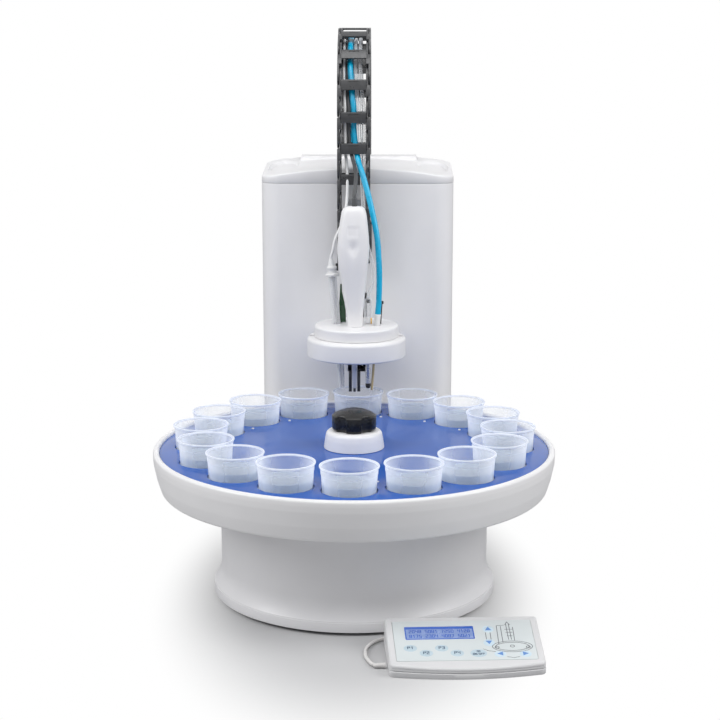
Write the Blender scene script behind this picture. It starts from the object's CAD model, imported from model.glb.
"""Looks of the carousel sample changer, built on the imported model.

Shapes are worked out in millimetres with numpy and put into the scene in metres.
A form is a pair: its points (n, 3) and its faces as lists of point numbers.
A profile is a list of corners, each with its radius from the axis, its height and the radius
that rounds it. Measured profiles and outlines are lists chosen by hand.
"""
import math

import bpy
import numpy as np
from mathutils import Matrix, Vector
from mathutils.geometry import delaunay_2d_cdt


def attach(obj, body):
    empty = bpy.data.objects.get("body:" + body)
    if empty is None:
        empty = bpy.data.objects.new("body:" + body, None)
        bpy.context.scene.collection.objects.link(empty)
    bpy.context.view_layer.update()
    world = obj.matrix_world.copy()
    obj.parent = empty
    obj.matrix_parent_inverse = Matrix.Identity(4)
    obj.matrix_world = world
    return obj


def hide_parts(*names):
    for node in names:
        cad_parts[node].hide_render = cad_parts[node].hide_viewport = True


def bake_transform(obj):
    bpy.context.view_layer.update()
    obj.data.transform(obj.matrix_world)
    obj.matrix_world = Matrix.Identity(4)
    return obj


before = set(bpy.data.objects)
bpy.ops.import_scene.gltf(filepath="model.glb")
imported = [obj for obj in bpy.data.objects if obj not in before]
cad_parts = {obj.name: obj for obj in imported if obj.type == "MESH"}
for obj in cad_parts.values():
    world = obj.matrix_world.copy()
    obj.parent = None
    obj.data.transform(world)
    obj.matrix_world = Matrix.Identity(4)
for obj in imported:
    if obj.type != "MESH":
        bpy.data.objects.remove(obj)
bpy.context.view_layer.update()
MM = 0.001
TURN = 2 * np.pi


# Camera: the place that it looks at and its distance, in metres, its turn, tilt and lens
CAMERA_AIM = Vector((0.0066, 0, 0.2623))
CAMERA_AWAY = 1.8
CAMERA_TURN, CAMERA_TILT = math.radians(0.8), math.radians(11.6)
CAMERA_LENS = 81.3


def add_object(name, data):
    """A new object in the scene, at the origin."""
    made = bpy.data.objects.new(name, data)
    bpy.context.scene.collection.objects.link(made)
    return made


def look_along(thing, place, way):
    """Puts a camera or a lamp at a place and turns it to look along a direction."""
    thing.location = place
    thing.rotation_mode = "QUATERNION"
    thing.rotation_quaternion = way.to_track_quat("-Z", "Y")


def make_camera():
    """Looks at its aim from in front, a little from the right and from above."""
    cam = add_object("camera", bpy.data.cameras.new("camera"))
    level_part = math.cos(CAMERA_TILT)
    back = Vector((math.sin(CAMERA_TURN) * level_part, -math.cos(CAMERA_TURN) * level_part,
                   math.sin(CAMERA_TILT)))
    look_along(cam, CAMERA_AIM + CAMERA_AWAY * back, -back)
    cam.data.lens = CAMERA_LENS
    cam.data.sensor_width = 36
    cam.data.clip_start = 0.05
    cam.data.clip_end = 50
    bpy.context.scene.camera = cam
    bpy.context.scene.view_settings.view_transform = "Standard"


# Forms
def grid(points, wrap=False):
    """Quads over points (rows, columns, 3). Each row closes on itself, and the last row joins the
    first where wrap is set."""
    m, n = points.shape[:2]
    index = np.arange(m * n).reshape(m, n)
    index = np.concatenate([index, index[:, :1]], 1)
    if wrap:
        index = np.concatenate([index, index[:1]], 0)
    quads = np.stack([index[:-1, :-1], index[1:, :-1], index[1:, 1:], index[:-1, 1:]], -1)
    return points.reshape(-1, 3), quads.reshape(-1, 4).tolist()


def volume(form):
    """Six times the signed volume, by fans of triangles from each face's first corner."""
    points, faces = form
    total = 0.0
    for count in {len(f) for f in faces}:
        f = np.array([f for f in faces if len(f) == count])
        for k in range(1, count - 1):
            a, b, c = points[f[:, 0]], points[f[:, k]], points[f[:, k + 1]]
            total += float(np.einsum("ij,ij->", a, np.cross(b, c)))
    return total


def outward(form):
    """The same closed form with its faces turned outward."""
    points, faces = form
    if volume(form) < 0:
        faces = [f[::-1] for f in faces]
    return points, faces


def stack(rings):
    """Closed form of rings (levels, around, 3) with a flat end face at each end."""
    rings = np.asarray(rings, float)
    k, n = rings.shape[:2]
    points, faces = grid(rings)
    faces += [list(range(n)), list(range((k - 1) * n, k * n))[::-1]]
    return outward((points, faces))


def hoop(rings):
    """Closed form of rings whose last joins the first, such as a pipe or a frame."""
    return outward(grid(np.asarray(rings, float), True))


def around(steps):
    """The angles of one full turn at even steps."""
    return np.arange(steps) * TURN / steps


def lathe(points, steps, closed, at):
    """Turns (r, z) points about the vertical through at. Ends on the axis become poles."""
    p = np.asarray(points, float)
    a = around(steps)
    low = p[0, 0] < 1e-6 and not closed
    high = p[-1, 0] < 1e-6 and not closed
    body = p[(1 if low else 0):(len(p) - 1 if high else len(p))]
    rings = np.stack([at[0] + body[:, :1] * np.cos(a), at[1] + body[:, :1] * np.sin(a),
                      np.repeat(body[:, 1:], steps, 1)], -1)
    if closed:
        return hoop(rings)
    points, faces = grid(rings)
    n = np.arange(steps)
    for pole, z, row, way in ((low, p[0, 1], 0, 1), (high, p[-1, 1], len(body) - 1, -1)):
        base = row * steps
        if pole:
            points = np.vstack([points, [[at[0], at[1], z]]])
            fan = np.stack([base + n, base + (n + 1) % steps, np.full(steps, len(points) - 1)], 1)
            faces += fan[:, ::way].tolist()
        else:
            faces.append((base + n)[::way].tolist())
    return outward((points, faces))


def soften(points, radius, steps, closed):
    """Rounds each corner of a flat polyline with an arc. radius is one number or one for each."""
    p = np.asarray(points, float)
    n = len(p)
    radii = np.broadcast_to(np.asarray(radius, float), (n,))
    out = []
    for i in range(n):
        if radii[i] <= 0 or (not closed and i in (0, n - 1)):
            out.append(p[i])
            continue
        u, v = p[i - 1] - p[i], p[(i + 1) % n] - p[i]
        lu, lv = np.linalg.norm(u), np.linalg.norm(v)
        u, v = u / lu, v / lv
        half = math.acos(np.clip(u @ v, -1, 1)) / 2
        if half > 1.55 or half < 0.02:
            out.append(p[i])
            continue
        reach = min(radii[i] / math.tan(half), 0.49 * lu, 0.49 * lv)
        r = reach * math.tan(half)
        middle = p[i] + (u + v) / np.linalg.norm(u + v) * r / math.sin(half)
        start, end = p[i] + u * reach - middle, p[i] + v * reach - middle
        sweep_by = math.atan2(start[0] * end[1] - start[1] * end[0], start @ end)
        for k in range(steps + 1):
            t = sweep_by * k / steps
            c, s = math.cos(t), math.sin(t)
            out.append(middle + np.array([c * start[0] - s * start[1], s * start[0] + c * start[1]]))
    return np.array(out)


def spin(profile, steps, arc=3, closed=False, at=(0.0, 0.0)):
    """Turns a profile about the vertical through at, with its corners rounded in arc steps."""
    p = np.asarray(profile, float)
    return lathe(soften(p[:, :2], p[:, 2], arc, closed), steps, closed, at)


def round_rect(half_x, low_y, high_y, radius, steps=8):
    """A rectangle with round corners, anticlockwise."""
    corners = [(half_x, low_y), (half_x, high_y), (-half_x, high_y), (-half_x, low_y)]
    return soften(corners, radius, steps, True)


def signed_area(outline):
    """Twice the area of a closed outline, above 0 where it runs anticlockwise."""
    o = np.asarray(outline, float)
    return np.sum(o[:, 0] * np.roll(o[:, 1], -1) - np.roll(o[:, 0], -1) * o[:, 1])


def anticlockwise(outline):
    """A closed outline, turned round if it runs clockwise."""
    o = np.asarray(outline, float)
    return o if signed_area(o) > 0 else o[::-1]


def inset(outline, by):
    """A closed outline moved inward by a distance, along the normals of its points."""
    o = np.asarray(outline, float)
    step = np.roll(o, -1, 0) - o
    step /= np.maximum(np.linalg.norm(step, axis=1, keepdims=True), 1e-9)
    normal = np.stack([step[:, 1], -step[:, 0]], 1)
    normals = normal + np.roll(normal, 1, 0)
    normals /= np.maximum((normals ** 2).sum(1, keepdims=True) / 2, 0.3)
    return o - normals * by * np.sign(signed_area(o))


def level(outline, z):
    """A flat outline as points at a height, which may differ from point to point."""
    return np.column_stack([outline, np.broadcast_to(z, len(outline))])


def edge_rings(outline, low, high, edge, steps=3):
    """Levels of an outline from low to high, with its lower and upper edges rounded."""
    outline = anticlockwise(outline)
    t = np.linspace(0, np.pi / 2, steps + 1)
    ins, drop = edge * (1 - np.sin(t)), edge * (1 - np.cos(t))
    return ([level(inset(outline, i), low + d) for i, d in zip(ins, drop)]
            + [level(inset(outline, i), high - d) for i, d in zip(ins[::-1], drop[::-1])])


def slab(outline, low, high, edge, steps=3):
    """An outline raised from low to high, with its upper and lower edges rounded."""
    return stack(edge_rings(outline, low, high, edge, steps))


def turned(form, axes, shift=(0, 0, 0)):
    """A form whose own x, y and z run along the three axes given, then moved."""
    points, faces = form
    return outward((points @ np.asarray(axes, float) + np.asarray(shift, float), faces))


# Ways to lay a form: its own z to the right, to the front and to the back
TO_RIGHT = [(0, 1, 0), (0, 0, 1), (1, 0, 0)]
TO_FRONT = [(1, 0, 0), (0, 0, 1), (0, -1, 0)]
TO_BACK = [(1, 0, 0), (0, 0, 1), (0, 1, 0)]


def spans(near, far):
    """The two spans, left and right of a middle, between two distances from it."""
    return (-far, -near), (near, far)


def block(low, high, edge=0.6):
    """A box with rounded edges, between two corners."""
    (x0, y0, z0), (x1, y1, z1) = low, high
    outline = round_rect((x1 - x0) / 2, y0, y1, edge, 2) + [(x0 + x1) / 2, 0]
    return slab(outline, z0, z1, edge, 2)


def lengths(points):
    """The way along a polyline to each of its points."""
    return np.concatenate([[0], np.cumsum(np.linalg.norm(np.diff(points, axis=0), axis=1))])


def even(points, spacing):
    """A smooth curve through the points, in cubic stretches, read at an even spacing."""
    p = np.asarray(points, float)
    p = np.vstack([2 * p[0] - p[1], p, 2 * p[-1] - p[-2]])
    t = np.linspace(0, 1, 24, endpoint=False)[:, None]
    fine = []
    for a, b, c, d in zip(p, p[1:], p[2:], p[3:]):
        fine.append(0.5 * (2 * b + (c - a) * t + (2 * a - 5 * b + 4 * c - d) * t ** 2
                           + (3 * b - a - 3 * c + d) * t ** 3))
    fine = np.vstack(fine + [p[-2:-1]])
    along = lengths(fine)
    want = np.linspace(0, along[-1], max(2, math.ceil(along[-1] / spacing)) + 1)
    return np.stack([np.interp(want, along, fine[:, k]) for k in range(3)], 1)


def sweep(path, radius, sides, ridge=None):
    """A round section carried along a path without twisting. radius may change on the way,
    and ridge=(depth, pitch) gives it a row of soft rings, as on a corrugated tube."""
    p = np.asarray(path, float)
    if ridge:
        along = lengths(p)
        want = np.arange(0, along[-1], ridge[1] / 6)
        p = np.stack([np.interp(want, along, p[:, k]) for k in range(3)], 1)
        radius = radius - ridge[0] * (0.5 - 0.5 * np.cos(TURN * want / ridge[1]))
    step = np.gradient(p, axis=0)
    step /= np.linalg.norm(step, axis=1, keepdims=True)
    across = np.zeros_like(p)
    side = np.array([1.0, 0.1, 0.02])
    for i, s in enumerate(step):
        side = side - s * (side @ s)
        side = side / np.linalg.norm(side)
        across[i] = side
    up = np.cross(step, across)
    a = around(sides)[:, None]
    r = np.broadcast_to(radius, len(p))[:, None, None]
    return stack(p[:, None] + r * (across[:, None] * np.cos(a) + up[:, None] * np.sin(a)))


def pierced_wall(outer, inner, keep):
    """A wall between two grids of points whose columns close on themselves. Cells that keep
    leaves out are holes, and every open edge is closed by a face between the two grids."""
    size = outer.shape[0] * outer.shape[1]
    quads = np.array(grid(outer)[1])[keep.ravel()]
    edges = np.concatenate([quads[:, [k, (k + 1) % 4]] for k in range(4)])
    rim = edges[~np.isin(edges[:, 0] * size + edges[:, 1], edges[:, 1] * size + edges[:, 0])]
    faces = np.vstack([quads, quads[:, ::-1] + size,
                       np.stack([rim[:, 1], rim[:, 0], rim[:, 0] + size, rim[:, 1] + size], 1)])
    points = np.vstack([outer.reshape(-1, 3), inner.reshape(-1, 3)])
    used, faces = np.unique(faces, return_inverse=True)
    return outward((points[used], faces.reshape(-1, 4).tolist()))


def within(loop, dots):
    """Which flat dots lie inside a closed outline, by the crossings of a line to the right."""
    a, b = loop, np.roll(loop, -1, 0)
    x, y = dots[:, :1], dots[:, 1:]
    over = (a[:, 1] > y) != (b[:, 1] > y)
    rise = np.where(np.abs(b[:, 1] - a[:, 1]) < 1e-9, 1e-9, b[:, 1] - a[:, 1])
    return (over & (x < a[:, 0] + (y - a[:, 1]) / rise * (b[:, 0] - a[:, 0]))).sum(1) % 2 == 1


def flat_cut(loops):
    """Triangles between the first closed outline and the rest, seen anticlockwise, as numbers
    into all the outlines' points."""
    points = np.vstack(loops)
    edges, base = [], 0
    for loop in loops:
        n = len(loop)
        edges += [(base + i, base + (i + 1) % n) for i in range(n)]
        base += n
    cut = delaunay_2d_cdt([Vector(p) for p in points], edges, [], 1, 1e-6)
    first = [ids[0] for ids in cut[3]]
    faces = np.array([[first[i] for i in f] for f in cut[2]])
    middle = points[faces].mean(1)
    drop = ~within(loops[0], middle)
    for loop in loops[1:]:
        drop |= within(loop, middle)
    faces = faces[~drop]
    a, b, c = (points[faces[:, k]] for k in range(3))
    area = (b[:, 0] - a[:, 0]) * (c[:, 1] - a[:, 1]) - (b[:, 1] - a[:, 1]) * (c[:, 0] - a[:, 0])
    faces[area < 0] = faces[area < 0][:, ::-1]
    return faces


def pierced(rings, holes, chamfer=0.3):
    """Closed form of upright rings, anticlockwise and from low to high, whose flat ends are
    pierced by holes. A hole is one outline, or a pair of them at its low and high end."""
    rings = np.asarray(rings, float)
    k, n = rings.shape[:2]
    low, high = rings[0, 0, 2], rings[-1, 0, 2]
    points, faces = grid(rings)
    points, base = [points], k * n
    tops, bottoms = [np.arange((k - 1) * n, k * n)], [np.arange(n)]
    for hole in holes:
        under, over = hole if isinstance(hole, tuple) else (hole, hole)
        under, over = anticlockwise(under), anticlockwise(over)
        m = len(over)
        wall = np.stack([level(inset(over, -chamfer), high), level(over, high - chamfer),
                         level(under, low)])
        p, f = grid(wall)
        faces += [[base + i for i in face] for face in f]
        points.append(p)
        tops.append(np.arange(base, base + m))
        bottoms.append(np.arange(base + 2 * m, base + 3 * m))
        base += 3 * m
    points = np.vstack(points)
    for ends, way in ((tops, -1), (bottoms, 1)):
        numbers = np.concatenate(ends)
        cut = flat_cut([points[e][:, :2] for e in ends])
        faces += numbers[cut][:, ::way].tolist()
    return outward((points, faces))


def sunk(rings, hole):
    """Closed form of upright rings, anticlockwise, with a blind hole in the end where they start.
    hole lists the hole's rings from that end inwards."""
    points, faces = grid(np.asarray(rings, float))
    wall, sides = grid(np.asarray(hole, float))
    n, m, base = len(rings[0]), len(hole[0]), len(points)
    points = np.vstack([points, wall])
    faces += [[base + i for i in face][::-1] for face in sides]
    numbers = np.concatenate([np.arange(n), np.arange(base, base + m)])
    faces += numbers[flat_cut([rings[0][:, :2], hole[0][:, :2]])].tolist()
    faces += [list(range(len(points) - m, len(points))), list(range(base - n, base))[::-1]]
    return outward((points, faces))


def circle(x, y, r, steps=32):
    """A round outline about a place."""
    a = around(steps)
    return np.column_stack([x + r * np.cos(a), y + r * np.sin(a)])


def box_outline(x, y, wide, tall, r):
    """An oblong outline with round corners about a place."""
    return round_rect(wide / 2, y - tall / 2, y + tall / 2, r, 3) + [x, 0]


def smooth_step(x, low, high):
    """0 up to low, 1 from high on, and t * t * (3 - 2 * t) between them."""
    t = np.clip((np.asarray(x, float) - low) / (high - low), 0, 1)
    return t * t * (3 - 2 * t)


def put(name, forms, skin, body=None, nodes=(), smooth=32):
    """An object in the scene from one or more forms in millimetres. Edges that bend by more than
    smooth degrees stay sharp."""
    forms = [forms] if isinstance(forms, tuple) else forms
    points, faces, base = [], [], 0
    for p, f in forms:
        points.append(p)
        faces += [[base + i for i in face] for face in f] if base else f
        base += len(p)
    mesh = bpy.data.meshes.new(name)
    mesh.from_pydata((np.vstack(points) * MM).tolist(), [], faces)
    mesh.update()
    mesh.shade_smooth()
    mesh.set_sharp_from_angle(angle=math.radians(smooth))
    mesh.materials.append(skin)
    made = add_object(name, mesh)
    if nodes:
        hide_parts(*nodes)
    if body:
        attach(made, body)
    return made


# Materials
GRAIN_DEPTH = 0.0002


def wire(tree, node, inputs):
    """Sets each input of a node, by its name or number, to a constant, or links it to an output."""
    for key, value in inputs.items():
        socket = node.inputs[key]
        if isinstance(value, bpy.types.NodeSocket):
            tree.links.new(value, socket)
        else:
            socket.default_value = (*value, 1) if socket.type == "RGBA" else value


def adder(tree):
    """Gives add(kind, inputs, out), which makes a node in the tree and gives back its output."""
    def add(kind, inputs=None, out=0, **settings):
        """A node of a kind with its inputs and settings. Gives back the output named by out."""
        node = tree.nodes.new("ShaderNode" + kind)
        for key, value in settings.items():
            setattr(node, key, value)
        wire(tree, node, inputs or {})
        return node.outputs[out] if node.outputs else None
    return add


def material(name):
    """A new material, its node tree and its adder of nodes."""
    made = bpy.data.materials.new(name)
    made.use_nodes = True
    return made, made.node_tree, adder(made.node_tree)


def finish(name, colour, rough, metal=0.0, vary=0.03, cloud=45.0, grain=0.12, grain_mm=0.4,
           uneven=0.06, coat=0.0, wear=0.0, ior=1.46):
    """A moulded, painted or ground surface: cloudy colour, fine grain, uneven gloss and, where
    wear is above 0, edges rubbed paler."""
    made, tree, add = material(name)
    place = add("TexCoord", out="Object")

    def noise(scale, detail=3):
        """A cloudy pattern, with scale ripples to the metre."""
        return add("TexNoise", {"Scale": scale, "Detail": detail, "Vector": place}, "Fac")

    def fit(value, low, high, start=0.3, end=0.7):
        """A value from start to end, spread from low to high."""
        return add("MapRange", {"From Min": start, "From Max": end, "To Min": low, "To Max": high,
                                "Value": value}, "Result")

    def mix(share, a, b):
        """Two colours, mixed by the share of the second."""
        return add("Mix", {"Factor": share, "A": a, "B": b}, "Result", data_type="RGBA")

    dark = tuple(c * (1 - vary) for c in colour)
    pale = tuple(min(1.0, c * (1 + vary)) for c in colour)
    tone = mix(fit(noise(1 / (cloud * MM)), 0, 1), dark, pale)
    if wear:
        rubbed = tuple(min(1.0, c * 1.6 + 0.05) for c in colour)
        edges = fit(add("NewGeometry", out="Pointiness"), 0, wear, 0.52, 0.6)
        patches = fit(noise(260, 5), 0, 1, 0.4, 0.62)
        tone = mix(add("Math", {0: edges, 1: patches}, operation="MULTIPLY"), tone, rubbed)
    gloss = fit(noise(95, 4), max(0.02, rough - uneven), rough + uneven)
    bump = add("Bump", {"Strength": grain, "Distance": GRAIN_DEPTH, "Height": noise(1 / (grain_mm * MM), 2)})
    wire(tree, tree.nodes["Principled BSDF"],
         {"Base Color": tone, "Roughness": gloss, "Normal": bump, "Metallic": metal, "IOR": ior,
          "Coat Weight": coat, "Coat Roughness": 0.05})
    return made


def frosted(name, tint, body, low, high, rough, grain=0.1, lip=1.0):
    """Thin frosted plastic: see-through where it is looked at squarely, milky at its edges.
    low and high are the milky shares there, with a faint flow pattern of the moulding. Above
    the height lip, in metres, the plastic is thicker and milkier."""
    made, tree, add = material(name)
    place = add("TexCoord", out="Object")
    fine = add("TexNoise", {"Scale": 1400, "Vector": place}, "Fac")
    bump = add("Bump", {"Strength": grain, "Distance": GRAIN_DEPTH, "Height": fine})
    skin = tree.nodes["Principled BSDF"]
    wire(tree, skin, {"Base Color": tint, "Roughness": rough, "IOR": 1.49, "Normal": bump})
    glow = add("BsdfTranslucent", {"Color": body})
    cloudy = add("MixShader", {"Fac": 0.45, 1: skin.outputs["BSDF"], 2: glow})
    facing = add("LayerWeight", {"Blend": 0.5}, "Facing")
    share = add("MapRange", {"To Min": low, "To Max": high, "Value": facing}, "Result")
    flow = add("TexNoise", {"Scale": 60, "Vector": place}, "Fac")
    milky = add("Math", {0: flow, 1: 0.12, 2: share}, operation="MULTIPLY_ADD")
    height = add("SeparateXYZ", {"Vector": place}, "Z")
    thick = add("MapRange", {"From Min": lip, "From Max": lip + 0.0004, "To Max": 0.75, "Value": height},
                "Result")
    milky = add("Math", {0: milky, 1: thick}, use_clamp=True)
    clear = add("BsdfTransparent", {"Color": (1, 1, 1)})
    surface = add("MixShader", {"Fac": milky, 1: clear, 2: cloudy})
    wire(tree, tree.nodes["Material Output"], {"Surface": surface})
    return made


WHITE = finish("white_moulding", (0.80, 0.795, 0.805), 0.36, vary=0.012, grain=0.08)
CAP_WHITE = finish("white_lid", (0.80, 0.795, 0.805), 0.40, vary=0.012, grain=0.12)
BOWL_WHITE = finish("white_bowl", (0.80, 0.795, 0.80), 0.34, vary=0.012, grain=0.05)
PAD_WHITE = finish("keypad_white", (0.66, 0.66, 0.665), 0.42, vary=0.012, grain=0.08)
PAINT = finish("white_paint", (0.78, 0.78, 0.80), 0.42, vary=0.02, grain=0.25, grain_mm=0.9)
BLUE = finish("blue_plate", (0.006, 0.085, 0.40), 0.07, vary=0.03, cloud=120, grain=0.02, uneven=0.02,
              ior=1.36)
BLACK = finish("black_moulding", (0.016, 0.016, 0.018), 0.42, vary=0.2, grain=0.25, wear=0.7)
CHAIN = finish("chain_moulding", (0.036, 0.037, 0.04), 0.33, vary=0.12, grain=0.3, wear=0.5, ior=1.6)
SATIN = finish("knob_moulding", (0.006, 0.006, 0.007), 0.26, vary=0.2, grain=0.1, wear=0.3, ior=1.42)
GREY = finish("grey_paint", (0.10, 0.105, 0.11), 0.5, vary=0.1, grain=0.4, grain_mm=0.8, wear=0.4)
STEEL = finish("ground_steel", (0.62, 0.62, 0.64), 0.26, metal=1.0, vary=0.05, grain=0.08, uneven=0.08)
GOLD = finish("gilt_contact", (0.85, 0.55, 0.2), 0.25, metal=1.0, vary=0.08, grain=0.2)
GREEN = finish("green_strip", (0.012, 0.06, 0.02), 0.3, vary=0.2, grain=0.2, coat=0.3)
HOSE = finish("blue_hose", (0.0, 0.41, 0.68), 0.28, vary=0.05, grain=0.08, cloud=25, coat=0.2)
CABLE = finish("dark_cable", (0.06, 0.063, 0.068), 0.5, vary=0.1, grain=0.3)
CORD = finish("pale_cord", (0.70, 0.685, 0.67), 0.5, vary=0.04, grain=0.2)
WIRE = finish("white_wire", (0.78, 0.78, 0.78), 0.45, vary=0.03, grain=0.15)
FILM = finish("printed_film", (0.63, 0.675, 0.68), 0.34, vary=0.012, grain=0.04)
KEY = finish("key_print", (0.50, 0.61, 0.67), 0.32, vary=0.03, grain=0.06, coat=0.2)
INK = finish("dark_print", (0.05, 0.09, 0.16), 0.4, vary=0.1, grain=0.05)
PALE_INK = finish("pale_print", (0.74, 0.79, 0.82), 0.4, vary=0.03, grain=0.05)
WINDOW = finish("display_glass", (0.03, 0.12, 0.55), 0.12, vary=0.06, grain=0.02, coat=1.0)
CUP = frosted("frosted_cup", (0.95, 0.965, 1.0), (0.90, 0.94, 1.0), 0.08, 0.78, 0.28, lip=0.1868)
TUBE = frosted("clear_tube", (0.90, 0.91, 0.93), (0.90, 0.91, 0.93), 0.14, 0.92, 0.22, 0.01)
PEARL = finish("pearl_moulding", (0.66, 0.66, 0.68), 0.3, vary=0.03, grain=0.08)
AMBER = finish("amber_tube", (0.62, 0.47, 0.24), 0.25, vary=0.05, grain=0.05, coat=0.2)
LIT = finish("display_light", (0.24, 0.33, 0.60), 0.25, vary=0.05, grain=0.02)
PALE_KEY = finish("pale_key", (0.58, 0.70, 0.78), 0.32, vary=0.03, grain=0.06)
KEY_BLUE = finish("blue_print", (0.12, 0.27, 0.60), 0.35, vary=0.05, grain=0.05)
LINE = finish("grey_print", (0.15, 0.16, 0.18), 0.4, vary=0.05, grain=0.05)
LIQUID = frosted("clear_liquid", (0.84, 0.92, 1.0), (0.78, 0.89, 1.0), 0.46, 0.78, 0.05, 0.01)


# Driving sizes in millimetres: base, tower and lid
BASE_R, BASE_HALF, BASE_BACK = 149.5, 119, 365
WALL, FLARE, DECK = 3, 8.5, 113
TOWER_FRONT, TOWER_MIDDLE, TOWER_CORNER = 235, 300, 24
SLOT_HALF, OPENING_HALF = 12, 80.3
SEAM, LID_TOP, LEDGE_TOP = 435.0, 454, 461

# Tray, cups and knob
PLACES = [math.radians(-90.6 + 22.5 * k) for k in range(16)]
HOLES_R, HOLE_R, STUDS_R = 171.3, 29.27, 145
PLATE_R, PLATE_LOW, PLATE_TOP = 216.2, 160.0, 163.0
CUP_LOW, FILL = 123.8, 46.0
KNOB_R, KNOB_RIM, CROWN = 24.7, 200.5, 6.8
FLUTES, FLUTE_DEEP, FLUTE_HALF = 5, 3.4, 16

# Place of the keypad, which the cord starts from
PAD_MIDDLE = np.array([113.4, -216.0])
PAD_TURN = math.radians(4.5)


def on_pad(points):
    """Points of the keypad's own frame, in the frame of the whole object."""
    p = np.asarray(points, float)
    c, s = math.cos(PAD_TURN), math.sin(PAD_TURN)
    x = PAD_MIDDLE[0] + c * p[..., 0] - s * p[..., 1]
    y = PAD_MIDDLE[1] + s * p[..., 0] + c * p[..., 1]
    return np.stack([x, y, p[..., 2]], -1)


# The free cord, the coil of its spare length and the end of the base's gland
CORD_R, CORD_Z = 1.8, 2.0
COIL_X, COIL_Y, COIL_R, COIL_PITCH = 70, 425, 24.6, 4.6
GLAND_X, GLAND_Y = 20.8, 374.3


def cord_route():
    """The cord from the keypad, along the table, under the foot where the solid has a notch,
    and out behind the base."""
    notch, foot = math.radians(33), BASE_R + FLARE - 1.5
    lead = on_pad([[-84.3, -21, 3.1], [-88.3, -21, 3.1]])
    flat = [(23.5, -238.5), (17, -224), (15, -204), (20, -184), (33, -169), (51, -162.5), (69, -161),
            (82, -153), (87.5, -140), (foot * math.sin(notch), -foot * math.cos(notch)),
            (80, -116), (73, -98), (70.5, -76)]
    end = COIL_Y - 2 * CORD_R - 0.3
    flat += [(COIL_X, end * share) for share in (0.0, 0.33, 0.66, 1.0)]
    route = even(np.vstack([lead[1:], level(np.array(flat), CORD_Z)]), 20.0)
    return np.vstack([lead[:1], route])


def cord_coil():
    """Two layers of two turns: in at the floor, up in the middle, and out to the base's gland."""
    per, turns = 24, 2
    half = per // 2
    i = np.arange(2 * turns * per + half + 1)
    angle = TURN * i / per
    run_in = np.clip(i / (turns * per), 0, 1)
    climb = np.clip((i - turns * per) / half, 0, 1)
    run_out = np.clip((i - turns * per - half) / (turns * per), 0, 1)
    r = COIL_R - turns * COIL_PITCH * (run_in - run_out)
    x, y = COIL_X - COIL_R + r * np.cos(angle), COIL_Y + r * np.sin(angle)
    top = CORD_Z + COIL_PITCH
    coil = np.column_stack([x, y, CORD_Z + COIL_PITCH * climb])
    return np.vstack([coil, [[GLAND_X, (COIL_Y + GLAND_Y) / 2, top], [GLAND_X, GLAND_Y, top]]])


def cord_tie():
    """A flat band round the coil: four rounded squares, whose points lie
    (|cos a| ** 4 + |sin a| ** 4) ** -0.25 of a half width from their middles."""
    a = around(24)
    c, s = np.cos(a), np.sin(a)
    out = (np.abs(c) ** 4 + np.abs(s) ** 4) ** -0.25
    loops = []
    for half, low, high, dx in ((6.6, 0.15, 8.5, -1.3), (6.6, 0.15, 8.5, 1.3), (7.4, 0.0, 9.2, 1.3),
                                (7.4, 0.0, 9.2, -1.3)):
        loops.append(np.column_stack([np.full(24, COIL_X - COIL_R + dx), COIL_Y + 20 + half * c * out,
                                      (low + high) / 2 + (high - low) / 2 * s * out]))
    return hoop(np.stack(loops))


def make_cord():
    """One curve through the free route and the coil, its relief at the keypad, and its tie."""
    points = np.vstack([cord_route(), cord_coil()]) * MM
    curve = bpy.data.curves.new("keypad_cord", "CURVE")
    curve.dimensions = "3D"
    curve.bevel_depth = CORD_R * MM
    curve.bevel_resolution = 4
    curve.resolution_u = 6
    curve.use_fill_caps = True
    line = curve.splines.new("BEZIER")
    line.bezier_points.add(len(points) - 1)
    line.bezier_points.foreach_set("co", points.ravel())
    for knot in line.bezier_points:
        knot.handle_left_type = knot.handle_right_type = "AUTO"
    curve.materials.append(CORD)
    cord = add_object("keypad_cord", curve)
    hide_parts("handset_cord", "cord_coil")
    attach(cord, "base")
    relief = sweep(on_pad([[-80, -21, 3.1], [-84, -21, 3.1], [-88, -21, 3.1], [-92, -21, 2.9]]),
                   np.array([2.75, 2.5, 2.3, 2.0]), 16)
    relief = put("cord_relief", relief, CORD, "base")
    tie = put("cord_tie", cord_tie(), BLACK, "base")


# Tray
def spots(r, turn=0.0):
    """Sixteen places on a circle, one for each cup, turned on by an angle."""
    return [(r * math.cos(a + turn), r * math.sin(a + turn)) for a in PLACES]


def tray_bowl():
    """Bowl profile turned about the tray's axis: flat floor, bellied wall, rolled rim."""
    bowl = [(6.5, 119, 0), (208.5, 119, 8), (214.9, 121.2, 5), (219.6, 136, 30), (223.0, 152.5, 20),
            (223.5, 158.8, 10), (223.5, 165.8, 3.4), (216.5, 165.8, 3.2), (216.5, 159.7, 0.3),
            (212.5, 159.7, 0.6), (206.8, 123.5, 6), (6.5, 123.5, 0)]
    put("carousel_bowl", spin(bowl, 180, 6, True), BOWL_WHITE, "tray", ["tray_bowl"])


def tray_plate():
    """A round plate with a hole for each cup and one at its middle. A row of small white studs
    lies between the cups."""
    rings = edge_rings(circle(0, 0, PLATE_R, 192), PLATE_LOW, PLATE_TOP, 0.4, 2)
    holes = [circle(x, y, HOLE_R, 80) for x, y in spots(HOLES_R)] + [circle(0, 0, 6.6, 40)]
    put("carousel_plate", pierced(rings, holes, 0.5), BLUE, "tray", ["tray_plate"], 40)
    stud = [(0, 162.9, 0), (1.5, 162.9, 0.1), (1.5, 163.9, 0.5), (0, 164.3, 0)]
    studs = [spin(stud, 20, at=at) for at in spots(STUDS_R, TURN / 32)]
    put("plate_studs", studs, WHITE, "tray")


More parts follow.
